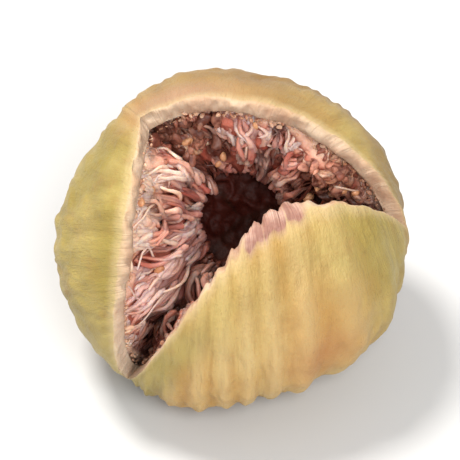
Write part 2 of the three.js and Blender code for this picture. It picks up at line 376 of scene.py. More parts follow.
def lay_down(points):
    """Bends the neck, tips the fig over to the way it lies and presses its underside."""
    x, y, z = points[..., 0], points[..., 1], points[..., 2]
    past = np.maximum(0, -z - NECK_BEND_START)
    lean = np.arctan(2 * NECK_BEND * past)
    bent_y = NECK_BEND * past**2 + y * np.cos(lean)
    bent_z = z + y * np.sin(lean)
    tip = math.radians(90 - AXIS_RISE)
    laid = np.stack(
        [
            x,
            bent_y * math.cos(tip) - bent_z * math.sin(tip),
            bent_y * math.sin(tip) + bent_z * math.cos(tip),
        ],
        axis=-1,
    )
    laid = laid + CENTRE
    away = np.hypot(laid[..., 0] - PRESS_CENTRE[0], laid[..., 1] - PRESS_CENTRE[1])
    dent = np.maximum(0, PRESS_DEPTH - away**2 / (2 * PRESS_ROUNDNESS))
    laid[..., 2] += PRESS_SHARE * dent * np.maximum(0, 1 - laid[..., 2] / CENTRE[2])
    laid[..., 2] = np.maximum(0, laid[..., 2])
    return laid


def make_mesh(name, points, faces, masks):
    """A piece from laid-down points in millimetres, with a float attribute for each mask."""
    mesh = bpy.data.meshes.new(name)
    mesh.from_pydata((points * MM).tolist(), [], faces)
    for key, values in masks.items():
        layer = mesh.attributes.new(key, "FLOAT", "POINT")
        layer.data.foreach_set("value", np.asarray(values, np.float32).ravel())
    mesh.polygons.foreach_set("use_smooth", [True] * len(mesh.polygons))
    mesh.update()
    piece = bpy.data.objects.new(name, mesh)
    bpy.context.scene.collection.objects.link(piece)
    return piece


def ring_faces(rings, count):
    """Quads between rings of points that go round."""
    ring, i = np.meshgrid(np.arange(rings - 1), np.arange(count), indexing="ij")
    here = ring * count + i
    beside = ring * count + (i + 1) % count
    return np.stack([here, beside, beside + count, here + count], axis=-1).reshape(-1, 4)


def closed_faces(rings, count):
    """The same quads, with one face that closes each end."""
    ends = [list(range(count))[::-1], list(range((rings - 1) * count, rings * count))]
    return ring_faces(rings, count).tolist() + ends


def even_sides(per_rib):
    return np.concatenate(
        [
            index + np.arange(lobe["ribs"] * per_rib) / (lobe["ribs"] * per_rib)
            for index, lobe in enumerate(LOBES)
        ]
    )


def row_shares(rows, ease):
    return 1 - (1 - np.arange(1, rows + 1) / rows) ** ease


def build_rind():
    sides = even_sides(RIND_POINTS_PER_RIB)
    count = len(sides)
    neck_end = BACK_OF_MAP - NECK_END_ANGLE
    column = column_at(sides)
    swell = column["swell"]
    neck_ring = skin_point(sides, 1.0, 0, neck_end, 1)
    tip_z = neck_ring[:, 2].mean()
    rings, pith, shares = [], [], []

    def add(points, pith_amount, share):
        rings.append(lay_down(points))
        pith.append(pith_amount + np.zeros(count))
        shares.append(np.full(count, share))

    def socket_ring(radius, z):
        across = radius * np.cos(column["heading"])
        up = radius * np.sin(column["heading"])
        return np.stack([across, up, np.full(count, z)], axis=-1)

    add(socket_ring(0.02, tip_z + SOCKET_DEPTH), 0.2, 1)
    add(socket_ring(SOCKET_RADIUS, tip_z + SOCKET_DEPTH), 0.2, 1)
    add(socket_ring(SOCKET_RADIUS, tip_z + 0.1), 0.2, 1)
    rows = 0.02 + 0.98 * row_shares(RIND_OUTER_ROWS, 1.5)
    outer_shares = np.concatenate([[0.006, 0.014], rows])
    for share in outer_shares[::-1]:
        torn = smooth(swell, 0.1, 0.5) * (1 - smooth(share, 0.004, 0.022))
        add(skin_point(sides, share, 0, neck_end, 1), torn, share)
    for part in np.linspace(0, 1, RIND_RIM_ROWS):
        depth = RIND_THICKNESS * (1 - math.cos(math.pi * part)) / 2
        ribbed = max(1 - 1.6 * part, 0.001)
        point = skin_point(sides, 0.0, depth, neck_end, ribbed)
        within = skin_point(sides, 0.02, depth, neck_end, ribbed)
        bulge = (RIM_BULGE * column["bow"] + swell) * math.sin(math.pi * part)
        crumbled = 0.14 * coarse_waves(point * 1.6) + 0.09 * fine_waves(point * 1.2)
        bulge = bulge + crumbled * (1 + 1.6 * swell) * math.sin(math.pi * part) ** 0.5
        torn = np.maximum(0.35 + 0.65 * part, smooth(swell, 0.1, 0.5))
        add(point + bulge[:, None] * unit(point - within), torn, 0)
    for share in row_shares(RIND_INNER_ROWS, 1.2)[:-1]:
        add(skin_point(sides, share, RIND_THICKNESS, BACK_OF_MAP, 0), 1, share)
    side = np.tile(column["side"], len(rings))
    phase = np.tile(column["rib_phase"], len(rings))
    share = np.concatenate(shares)
    masks = {
        "pith": np.concatenate(pith),
        "share": share,
        "side": side,
        "phase": phase,
        # Where the ribs crest, for the painted highlight on them.
        "crest_highlight": np.cos(phase) * 0.5 + 0.5,
        "green": green_mask(side, share),
        "warm": warm_mask(side, share),
        "top": top_mask(side, share),
        "blush": blush_mask(side, share),
        "white": white_mask(side, np.tile(swell, len(rings))),
        "swollen": np.tile(smooth(swell, 0.05, 0.4), len(rings)),
    }
    return make_mesh("rind_skin", np.concatenate(rings), closed_faces(len(rings), count), masks)


def green_mask(side, share):
    """Where the skin is yellow-green: the left lobe and both ends of the lower one."""
    left = smooth(side, 0.85, 1.25) * (1 - smooth(side, 1.95, 2.25))
    left = left * (1 - smooth(share, 0.15, 0.85))
    low = 0.25 * bell(side, 2.3, 0.1) * bell(share, 0.15, 0.15)
    low_corner = bell(side, 2.12, 0.14) * (1 - smooth(share, 0.2, 0.55))
    right_corner = bell(side, 2.88, 0.16) * (1 - smooth(share, 0.2, 0.75))
    upper = 0.45 * bell(side, 2.5, 0.3) * bell(share, 0.08, 0.1)
    top = upper + 0.45 * bell(side, 0.25, 0.3) * (1 - smooth(share, 0.2, 0.6))
    return np.clip(left + 0.9 * low_corner + 0.8 * right_corner + top + low, 0, 1)


def warm_mask(side, share):
    """Where the skin is orange-tan: low on the right of the lower lobe, and by the neck."""
    patch = bell(side, 2.68, 0.09) * bell(share, 0.35, 0.12)
    neck = 0.5 * smooth(share, 0.7, 1)
    return np.clip(patch + neck, 0, 1)


def top_mask(side, share):
    """Where the skin is duller and tanner: the front of the top lobe."""
    top = smooth(side, 0.02, 0.15) * (1 - smooth(side, 0.85, 1.05))
    return top * (1 - smooth(share, 0.25, 0.5))


def blush_mask(side, share):
    """Where the skin fades into the pith: by the split's upper left corner."""
    return bell(side, 0.86, 0.2) * (1 - smooth(share, 0.03, 0.16))


def white_mask(side, swell):
    """Where the pith is whitest: the left lobe's low end."""
    return bell(side, 1.85, 0.2) * (1 - smooth(swell, 0.05, 0.4))


def pulp_masks(side, share):
    """What the pulp's colours depend on, for points at a side and a share of the wall."""
    side = np.mod(side, len(LOBES))
    brown = bell(side, 0.24, 0.14) + bell(side, 0.92, 0.12) + 0.6 * bell(side, 2.04, 0.08)
    brown = brown * (1 - smooth(share, 0.3, 0.42))
    lilac = bell(side, 1.66, 0.2) + 0.5 * bell(side, 0.55, 0.2)
    margin = 0.11 + 0.24 * bell(side, 1.34, 0.24) + 0.07 * bell(side, 0.38, 0.15)
    corner = bell(side, 0.2, 0.1) * smooth(share, 0.2, 0.32)
    corner = corner + bell(side, 0.07, 0.13) + bell(side, 3, 0.2)
    corner = corner + bell(side, 0.98, 0.05) + bell(side, 1.98, 0.1)
    under = smooth(side, 2.02, 2.12) * (1 - smooth(side, 2.9, 3.0))
    return {
        # Rises towards the hollow and under the lower lobe; the materials darken by it as painted
        # shade.
        "depth_shade": share + 0.16 * bell(side, 2.2, 0.32),
        "brown": np.clip(brown, 0, 1),
        "lilac": np.clip(lilac, 0, 1),
        "red": bell(side, 1.95, 0.14) * bell(share, 0.34, 0.1) + 0.5 * bell(side, 1.2, 0.2),
        "pale": 1 - smooth(share, 0.35 * margin, margin),
        "shadow": np.clip(corner + 0.7 * under, 0, 1),
    }


def build_pulp_body():
    sides = even_sides(PULP_POINTS_PER_RIB)
    count = len(sides)
    depth = RIND_THICKNESS + PULP_GAP
    starts = column_at(sides)["pulp_start"]
    rings = []
    for share in row_shares(PULP_BACK_ROWS, 1.2)[:-1][::-1]:
        rings.append(skin_point(sides, starts * (1 - share) + share, depth, BACK_OF_MAP, 0))
    rings.append(skin_point(sides, 0.8 * starts, RIND_THICKNESS + 0.05, BACK_OF_MAP, 0))
    before = len(rings)
    shares = np.linspace(0, PULP_WALL_END, PULP_WALL_ROWS)
    gaps = [np.zeros(count * before)]
    for share in shares:
        base = wall_point(sides, share)
        lump = 0.3 * coarse_waves(base * 1.4) + 0.14 * fine_waves(base) + 0.06 * knot_waves(base)
        gap = gap_at(sides, share, base) * smooth(share, 0.02, 0.1)
        off = (lump - 0.5 * gap + heap_at(sides, share)) * smooth(share, 0, 0.08)
        gaps.append(gap)
        rings.append(base + off[:, None] * wall_normal(sides, share))
    share = np.concatenate([np.zeros(before), shares]).repeat(count)
    masks = pulp_masks(np.tile(sides, len(rings)), share)
    masks["gap"] = np.concatenate(gaps)
    points = lay_down(np.concatenate(rings))
    return make_mesh("pulp_wall", points, closed_faces(len(rings), count), masks)


def tubes(paths, ups, radii, sides):
    """Closed tapered tubes: points, faces, and how far along its tube each point is."""
    number, steps, _ = paths.shape
    along = unit(np.gradient(paths, axis=1))
    across = unit(np.cross(ups, along))
    up = np.cross(along, across)
    turn = 2 * math.pi * np.arange(sides) / sides
    ring = (
        across[:, :, None, :] * np.cos(turn)[None, None, :, None]
        + up[:, :, None, :] * np.sin(turn)[None, None, :, None]
    )
    points = paths[:, :, None, :] + ring * radii[:, :, None, None]
    one = closed_faces(steps, sides)
    faces = [[v + k * steps * sides for v in face] for k in range(number) for face in one]
    part = np.tile(np.repeat(np.linspace(0, 1, steps), sides), number)
    return points.reshape(-1, 3), faces, part


STRANDS = [
    # Pale fibres that reach in from the pith.
    {"from": 0.0, "reach": 0.14, "bunches": 140, "strands": 2, "spread": 0.012,
     "radius": 0.18, "lift": 0.25, "sway": 0.02, "curl": 0.01, "light": 1},
    # A mat over the wall, seen in the gaps between the florets, darkened as painted shade by its
    # light values below 1.
    {"from": 0.05, "reach": 0.2, "bunches": 70, "strands": 2, "spread": 0.02,
     "radius": 0.26, "lift": 0.3, "sway": 0.04, "curl": 0.02, "light": 0.5},
    {"from": 0.2, "reach": 0.22, "bunches": 60, "strands": 2, "spread": 0.02,
     "radius": 0.26, "lift": 0.4, "sway": 0.05, "curl": 0.03, "light": 0.35},
    {"from": 0.38, "reach": 0.2, "bunches": 40, "strands": 2, "spread": 0.03,
     "radius": 0.24, "lift": 0.4, "sway": 0.08, "curl": 0.04, "light": 0.2},
    # Rows of bunched florets that stand up from it, from the rim down to the hollow.
    {"from": 0.06, "reach": 0.19, "bunches": 46, "strands": 4, "spread": 0.014,
     "radius": 0.24, "lift": 0.9, "sway": 0.06, "curl": 0.025, "light": 1},
    {"from": 0.16, "reach": 0.22, "bunches": 40, "strands": 4, "spread": 0.015,
     "radius": 0.26, "lift": 1.4, "sway": 0.08, "curl": 0.03, "light": 1},
    {"from": 0.27, "reach": 0.23, "bunches": 34, "strands": 4, "spread": 0.016,
     "radius": 0.26, "lift": 1.5, "sway": 0.08, "curl": 0.03, "light": 1},
    {"from": 0.4, "reach": 0.15, "bunches": 24, "strands": 3, "spread": 0.02,
     "radius": 0.22, "lift": 0.9, "sway": 0.1, "curl": 0.04, "light": 0.8},
    # Pale wiry strands that curl on top.
    {"from": 0.07, "reach": 0.22, "bunches": 60, "strands": 1, "spread": 0,
     "radius": 0.15, "lift": 1.5, "sway": 0.14, "curl": 0.08, "light": 1},
    {"from": 0.18, "reach": 0.22, "bunches": 60, "strands": 1, "spread": 0,
     "radius": 0.16, "lift": 1.9, "sway": 0.16, "curl": 0.09, "light": 1},
]
# Heaps of florets that the photo shows: the side and share of each middle, how far it reaches
# along each, and how high it stands in millimetres.
HEAPS = [
    (0.6, 0.22, 0.11, 0.12, 0.9),
    (0.35, 0.2, 0.08, 0.11, 1.0),
    (1.18, 0.3, 0.1, 0.12, 0.6),
    (1.62, 0.3, 0.16, 0.12, 0.7),
    (0.92, 0.28, 0.05, 0.06, 0.6),
]
# Gaps that the photo shows: the side and share of each middle, then how far it reaches.
PITS = [
    (0.2, 0.36, 0.09, 0.12),
    (0.09, 0.18, 0.09, 0.13),
    (0.92, 0.09, 0.035, 0.05),
    (0.98, 0.2, 0.035, 0.06),
    (0.8, 0.36, 0.04, 0.05),
    (0.94, 0.41, 0.04, 0.05),
    (1.2, 0.39, 0.035, 0.05),
    (0.52, 0.14, 0.025, 0.05),
    (1.38, 0.42, 0.03, 0.05),
    (1.95, 0.17, 0.08, 0.07),
]
# Strands thinner than this, in millimetres, are the wiry ones.
WIRY_RADIUS = 0.17
# A wiry strand that runs through a place darker than this, from 0 to 1, is left out.
WIRY_DARKNESS = 0.6


def heap_at(side, share):
    """How much higher the florets are heaped, in millimetres."""
    side = np.mod(side, len(LOBES))
    return sum(
        height * bell(side, place, width) * bell(share, at, reach)
        for place, at, width, reach, height in HEAPS
    )


def gap_at(side, share, points):
    """Where the dried florets shrank apart and left a gap, 0 to 1, which the materials darken as
    painted shade.
    """
    side = np.mod(side, len(LOBES))
    gap = 0.8 * smooth(coarse_waves(points * 1.25 + 40), 0.4, 0.95)
    gap = gap * (1 - pulp_masks(side, share)["pale"])
    for place, at, width, reach in PITS:
        gap = gap + bell(side, place, width) * bell(share, at, reach)
    return np.clip(gap, 0, 1)


def strand_paths(kind, draw):
    """Curved paths along the pulp's torn face, for every strand of one kind."""
    bunches, strands = kind["bunches"], kind["strands"]

    def per_bunch(low, high):
        return draw.uniform(low, high, (bunches, 1)).repeat(strands, axis=0)

    def per_strand(low, high):
        return draw.uniform(low, high, (bunches * strands, 1))

    part = np.linspace(0, 1, STRAND_STEPS)[None, :]
    order = np.arange(bunches)[:, None].repeat(strands, axis=0)
    side = len(LOBES) * (order + per_bunch(-0.4, 0.4)) / bunches
    side = side + kind["spread"] * per_strand(-1, 1)
    start = kind["from"] + per_bunch(-0.03, 0.03) + per_strand(-0.015, 0.015)
    reach = kind["reach"] * per_bunch(0.75, 1.2) * per_strand(0.8, 1.1)
    around = np.mod(side, len(LOBES))
    reach = reach * (1 - 0.5 * bell(around, 2.2, 0.32) - 0.4 * bell(around, 0.16, 0.14))
    sway = kind["sway"] * (per_bunch(-1, 1) + per_strand(-0.4, 0.4))
    curl = kind["curl"] * per_strand(-1, 1)
    place = side + sway * part + curl * np.sin(2 * math.pi * part)
    share = np.clip(start + reach * part, 0.004, 0.95)
    clump = np.clip(0.85 + 0.6 * coarse_waves(wall_point(side, start) * 0.7), 0.3, 1.6)
    sunk = 1 - 0.8 * pocket_at(column_at(side), start + 0.1)
    flat = 1 - 0.65 * pulp_masks(side, start + 0.05)["pale"]
    lift = kind["lift"] * per_bunch(0.6, 1.2) * per_strand(0.8, 1.1) * clump * sunk * flat
    base = wall_point(place, share)
    gap = gap_at(place, share, base)
    off = lift * np.sin(0.8 * math.pi * part) * (1 - 0.75 * gap) - 0.3 * (1 - part)
    off = off + heap_at(place, share)
    normal = wall_normal(place, share)
    path = base + off[..., None] * normal
    width = 0.65 + 0.2 * part + 0.4 * bell(part, 0.8, 0.18)
    width = width * np.sqrt(np.clip(1.02 - part**8, 0, 1))
    radius = kind["radius"] * per_strand(0.65, 1.25) * width * (1 - 0.4 * gap)
    wiry = kind["radius"] < WIRY_RADIUS
    darkness = np.maximum(gap, pulp_masks(place, share)["shadow"]).max(axis=1)
    kept = (darkness < WIRY_DARKNESS) | (not wiry)
    strands_made = {
        "path": path,
        "up": normal,
        "radius": radius,
        "side": place,
        "share": share,
        "gap": gap,
        "tone": per_bunch(0, 1),
        "shade": per_strand(0, 1),
        "light": np.full((bunches * strands, 1), float(kind["light"])),
        "wiry": np.full((bunches * strands, 1), float(wiry)),
    }
    return {key: values[kept] for key, values in strands_made.items()}


def build_strands():
    draw = np.random.RandomState(STRAND_DRAW)
    made = [strand_paths(kind, draw) for kind in STRANDS]
    all_of = {key: np.concatenate([one[key] for one in made]) for key in made[0]}
    points, faces, along = tubes(all_of["path"], all_of["up"], all_of["radius"], STRAND_SIDES)

    def per_point(values):
        steps = values + np.zeros((1, STRAND_STEPS))
        return steps.repeat(STRAND_SIDES, axis=1).ravel()

    masks = pulp_masks(per_point(all_of["side"]), per_point(all_of["share"]))
    masks["along"] = along
    for key in ("gap", "tone", "shade", "light", "wiry"):
        masks[key] = per_point(all_of[key])
    height = 0.25 * per_point(all_of["radius"])[:, None]
    knots = knobbly(points, height, stretch=1, shifts=(0, 7, 19))
    return make_mesh("pulp_threads", lay_down(knots), faces, masks)


def balls(centres, sizes, draw):
    """Closed little ellipsoids, each turned its own way: points and faces."""
    turn = np.linspace(0, 2 * math.pi, BALL_SIDES, endpoint=False)
    polar = np.linspace(0.05, math.pi - 0.05, BALL_ROWS)
    across = np.sin(polar)[:, None] * np.cos(turn)[None]
    up = np.sin(polar)[:, None] * np.sin(turn)[None]
    ball = np.stack([across, up, np.cos(polar)[:, None] + 0 * turn[None]], axis=-1).reshape(-1, 3)
    one = closed_faces(BALL_ROWS, BALL_SIDES)
    points, faces = [], []
    for k, (centre, size) in enumerate(zip(centres, sizes)):
        first = unit(draw.normal(size=3))
        second = unit(np.cross(first, draw.normal(size=3)))
        points.append(centre + (ball * size) @ np.stack([first, second, np.cross(first, second)]))
        faces.extend([v + k * len(ball) for v in face][::-1] for face in one)
    return np.concatenate(points), faces


def build_florets():
    """The rounded ends of florets, crowded where the pulp is brown and grainy."""
    draw = np.random.RandomState(FLORET_DRAW)
    side = np.concatenate([draw.normal(*crowd) for crowd in FLORET_CROWDS])
    share = draw.uniform(0.06, 0.3, len(side))
    lift = heap_at(side, share) + draw.uniform(-0.1, 0.45, len(side))
    centre = wall_point(side, share) + lift[:, None] * wall_normal(side, share)
    size = draw.uniform(0.6, 1.2, (len(side), 1)) * FLORET_SIZE
    points, faces = balls(centre, size, draw)
    per = len(points) // len(side)
    masks = pulp_masks(side.repeat(per), share.repeat(per))
    masks["shade"] = draw.uniform(0, 1, len(side)).repeat(per)
    masks["gap"] = gap_at(side, share, centre).repeat(per)
    return make_mesh("pulp_florets", lay_down(knobbly(points, 0.18)), faces, masks)


def build_crumbs():
    """Crumbs of pith along the line where it meets the pulp."""
    draw = np.random.RandomState(CRUMB_DRAW)
    count = CRUMB_COUNT
    side = len(LOBES) * (np.arange(count) + draw.uniform(0, 1, count)) / count
    depth = draw.uniform(1.2, 2, count)
    share = draw.uniform(-0.006, 0.02, count)
    rim = skin_point(side, share, 0, BACK_OF_MAP, 1)
    under = skin_point(side, share, 1, BACK_OF_MAP, 1)
    centre = rim + depth[:, None] * (under - rim)
    bulk = draw.uniform(0.3, 0.8, count) * (0.2 + 0.8 * column_at(side)["bow"])
    points, faces = balls(centre, bulk[:, None] * CRUMB_SIZE, draw)
    per = len(points) // count
    masks = {"shade": draw.uniform(0, 1, count).repeat(per)}
    places = pulp_masks(side, share)
    masks["shadow"] = places["shadow"].repeat(per)
    masks["brown"] = places["brown"].repeat(per)
    return make_mesh("pith_crumbs", lay_down(knobbly(points, 0.12)), faces, masks)


def build_seeds():
    draw = np.random.RandomState(SEED_DRAW)
    count = SEED_COUNT
    side = draw.uniform(0, len(LOBES), count)
    share = draw.uniform(0.1, 0.5, count)
    lift = heap_at(side, share) + draw.uniform(0, 0.5, count)
    centre = wall_point(side, share) + lift[:, None] * wall_normal(side, share)
    size = draw.uniform(0.85, 1.1, (count, 1)) * SEED_SIZE
    points, faces = balls(centre, size, draw)
    masks = {"tone": draw.uniform(0, 1, count).repeat(len(points) // count)}
    return make_mesh("pulp_seeds", lay_down(points), faces, masks)


def build_stalk():
    tip_z = body_point(np.radians(np.array([BACK_OF_MAP - NECK_END_ANGLE])), np.zeros(1))[0, 2]
    foot = tip_z + SOCKET_DEPTH - PIECE_GAP
    distance, radius_share = np.array(STALK_PROFILE).T
    fine = np.linspace(0, STALK_LENGTH, STALK_ROWS)
    size = np.interp(fine, distance, STALK_RADIUS * radius_share)
    turn = np.linspace(0, 2 * math.pi, STALK_SIDES, endpoint=False)
    groove = 1 + 0.035 * np.cos(9 * turn)[None] + 0.02 * np.cos(23 * turn + 1)[None]
    size = size[:, None] * groove
    bark = np.stack(
        [
            size * np.cos(turn)[None],
            size * np.sin(turn)[None],
            (foot - fine)[:, None] + 0 * size,
        ],
        axis=-1,
    )
    cuts = np.array([0.8, 0.55, 0.3, 0.05])[:, None] * size[-1][None]
    rough = 0.06 * np.cos(5 * turn)[None] * cuts
    cut_end = np.stack(
        [cuts * np.cos(turn), cuts * np.sin(turn), foot - STALK_LENGTH + rough], axis=-1
    )
    start = np.array([0.05, 0.6])[:, None] * size[0][None]
    root = np.stack([start * np.cos(turn), start * np.sin(turn), foot + 0 * start], axis=-1)
    rings = np.concatenate([root, bark, cut_end])
    points = rings.reshape(-1, 3)
    cut = np.concatenate([np.zeros(len(root) + len(bark)), np.ones(len(cut_end))])
    along = np.concatenate([np.zeros(len(root)), fine / STALK_LENGTH, np.ones(len(cut_end))])
    masks = {"cut": cut.repeat(STALK_SIDES), "along": along.repeat(STALK_SIDES)}
    faces = [face[::-1] for face in closed_faces(len(rings), STALK_SIDES)]
    return make_mesh("stalk_wood", lay_down(points), faces, masks)


def tone(red, green, blue):
    """A shader colour from the 0 to 255 values that a screen shows."""
    values = [c / 255 for c in (red, green, blue)]
    linear = [c / 12.92 if c <= 0.04045 else ((c + 0.055) / 1.055) ** 2.4 for c in values]
    return (*linear, 1)


# Where a mix node keeps its colour sockets.
MIX_FIRST_COLOR = 6
MIX_SECOND_COLOR = 7
MIX_COLOR = 2


class Nodes:
    """Short calls for building one material's node tree."""

    def __init__(self, name):
        self.material = bpy.data.materials.new(name)
        self.material.use_nodes = True
        self.tree = self.material.node_tree
        self.surface = self.tree.nodes["Principled BSDF"]

    def link(self, value, socket):
        if hasattr(value, "is_output"):
            self.tree.links.new(value, socket)
        else:
            socket.default_value = value

    def add(self, kind, **sockets):
        node = self.tree.nodes.new(kind)
        for key, value in sockets.items():
            self.link(value, node.inputs[key.replace("_", " ")])
        return node.outputs[0]

    def mask(self, name):
        node = self.tree.nodes.new("ShaderNodeAttribute")
        node.attribute_name = name
        return node.outputs["Fac"]

    def math(self, operation, first, second):
        node = self.tree.nodes.new("ShaderNodeMath")
        node.operation = operation
        self.link(first, node.inputs[0])
        self.link(second, node.inputs[1])
        return node.outputs[0]

    def noise(self, scale, detail, rough, vector=None):
        node = self.tree.nodes.new("ShaderNodeTexNoise")
        coordinates = vector or self.place()
        self.link(coordinates, node.inputs["Vector"])
        node.inputs["Scale"].default_value = scale
        node.inputs["Detail"].default_value = detail
        node.inputs["Roughness"].default_value = rough
        return node.outputs["Fac"]

    def place(self):
        return self.tree.nodes.new("ShaderNodeTexCoord").outputs["Object"]

    def vector(self, x, y, z):
        return self.add("ShaderNodeCombineXYZ", X=x, Y=y, Z=z)

    def ramp(self, value, low, high):
        node = self.tree.nodes.new("ShaderNodeMapRange")
        node.interpolation_type = "SMOOTHSTEP"
        self.link(value, node.inputs["Value"])
        node.inputs["From Min"].default_value = low
        node.inputs["From Max"].default_value = high
        return node.outputs["Result"]

    def mix(self, amount, first, second, blend="MIX"):
        node = self.tree.nodes.new("ShaderNodeMix")
        node.data_type = "RGBA"
        node.blend_type = blend
        self.link(amount, node.inputs["Factor"])
        self.link(first, node.inputs[MIX_FIRST_COLOR])
        self.link(second, node.inputs[MIX_SECOND_COLOR])
        return node.outputs[MIX_COLOR]

    def blend(self, value, low, high, first, second):
        """The first colour where a value is below low, the second where it is above high."""
        return self.mix(self.ramp(value, low, high), first, second)

    def tint(self, color, where, amount, other):
        """A colour with up to the amount of another where a mask says."""
        return self.mix(self.math("MULTIPLY", where, amount), color, other)

    def bump(self, height, distance, strength, normal=None):
        node = self.tree.nodes.new("ShaderNodeBump")
        node.inputs["Strength"].default_value = strength
        node.inputs["Distance"].default_value = distance
        self.link(height, node.inputs["Height"])
        if normal:
            self.link(normal, node.inputs["Normal"])
        return node.outputs["Normal"]

    def finish(self, color, roughness, normal, soft, soft_reach, specular):
        """Sets the surface. Light goes soft_reach metres into it, by the share soft."""
        surface = self.surface.inputs
        self.link(color, surface["Base Color"])
        self.link(roughness, surface["Roughness"])
        self.link(normal, surface["Normal"])
        surface["Specular IOR Level"].default_value = specular
        surface["Subsurface Weight"].default_value = soft
        surface["Subsurface Radius"].default_value = SOFT_REACHES
        surface["Subsurface Scale"].default_value = soft_reach
        return self.material


def skin_material():
    n = Nodes("dried_fig_skin")
    crest_highlight, pith, share = n.mask("crest_highlight"), n.mask("pith"), n.mask("share")
    green, warm = n.mask("green"), n.mask("warm")
    across = n.math("MULTIPLY", n.mask("phase"), 0.16)
    flow = n.vector(across, n.math("MULTIPLY", share, 2), n.mask("side"))
    streaks = n.noise(3, 2, 0.5, flow)
    clouds = n.noise(120, 2, 0.5)
    blotches = n.noise(380, 3, 0.55)
    specks = n.noise(1700, 2, 0.6)
    golden = n.blend(clouds, 0.38, 0.62, tone(208, 160, 84), tone(228, 190, 118))
    golden = n.tint(golden, n.ramp(streaks, 0.42, 0.7), 0.5, tone(188, 138, 68))
    # Lighter on the rib crests: painted highlight.
    golden = n.tint(golden, crest_highlight, 0.45, tone(242, 212, 150))
    top = n.mask("top")
    dull = n.blend(clouds, 0.38, 0.62, tone(150, 114, 62), tone(174, 138, 80))
    golden = n.tint(golden, top, 0.85, dull)
    leafy = n.blend(clouds, 0.38, 0.62, tone(168, 146, 66), tone(196, 172, 96))
    leafy = n.tint(leafy, n.ramp(streaks, 0.42, 0.72), 0.45, tone(142, 118, 52))
    uneven = n.math("ADD", n.math("MULTIPLY", n.math("SUBTRACT", clouds, 0.5), 0.9), green)
    skin = n.blend(uneven, 0.05, 0.95, golden, leafy)
    tan = n.math("MULTIPLY", warm, n.ramp(clouds, 0.25, 0.6))
    skin = n.tint(skin, tan, 0.8, tone(196, 130, 66))
    skin = n.tint(skin, n.ramp(blotches, 0.5, 0.75), 0.3, tone(176, 126, 66))
    skin = n.tint(skin, n.ramp(specks, 0.64, 0.76), 0.2, tone(128, 84, 44))
    skin = n.tint(skin, n.mask("blush"), 0.75, tone(202, 158, 126))
    cream = n.blend(blotches, 0.3, 0.7, tone(206, 162, 132), tone(232, 202, 172))
    rosy = n.blend(blotches, 0.4, 0.6, tone(178, 124, 108), tone(222, 178, 158))
    # Darker creases in the swollen pith: painted shade.
    crease_shade = n.ramp(n.noise(24, 2, 0.5, flow), 0.48, 0.62)
    rosy = n.tint(rosy, crease_shade, 0.7, tone(150, 96, 80))
    cream = n.tint(cream, n.mask("swollen"), 0.9, rosy)
    cream = n.tint(cream, n.mask("white"), 0.75, tone(246, 222, 196))
    edge = n.math("SUBTRACT", 1, n.ramp(share, 0.0, 0.04))
    skin = n.tint(skin, edge, 0.5, tone(234, 206, 156))
    color = n.blend(pith, 0.05, 0.7, skin, cream)
    color = n.mix(1.0, color, SKIN_DARKENING, "MULTIPLY")
    pores = n.bump(n.noise(3600, 3, 0.6), 0.00004, 0.7)
    wrinkle = n.bump(n.noise(900, 4, 0.6), 0.0002, 0.6, pores)
    creases = n.vector(n.math("MULTIPLY", across, 5), n.math("MULTIPLY", share, 9), n.mask("side"))
    normal = n.bump(n.noise(9, 4, 0.6, flow), 0.00025, 0.5, wrinkle)
    normal = n.bump(n.noise(5, 3, 0.6, creases), 0.00012, 0.6, normal)
    roughness = n.math("ADD", n.math("MULTIPLY", specks, 0.25), 0.4)
    return n.finish(color, roughness, normal, 0.15, 0.0008, 0.42)


def pulp_material():
    n = Nodes("dried_fig_pulp")
    depth_shade, brown = n.mask("depth_shade"), n.mask("brown")
    blotches = n.noise(700, 4, 0.6)
    flesh = n.blend(blotches, 0.35, 0.65, tone(140, 64, 50), tone(192, 112, 92))
    rim = n.blend(blotches, 0.3, 0.7, tone(232, 182, 156), tone(255, 222, 196))
    rim = n.tint(rim, brown, 0.5, tone(176, 122, 92))
    color = n.mix(n.mask("pale"), flesh, rim)
    # Darker towards the hollow: painted shade.
    color = n.blend(depth_shade, 0.35, 0.58, color, tone(62, 18, 9))
    color = n.tint(color, n.mask("shadow"), 0.85, tone(52, 24, 15))
    # Darker in the gaps between florets: painted shade.
    color = n.tint(color, n.mask("gap"), 0.85, tone(54, 22, 15))
    normal = n.bump(n.noise(1400, 3, 0.6), 0.0003, 0.8)
    return n.finish(color, 0.6, normal, 0.3, 0.001, 0.2)


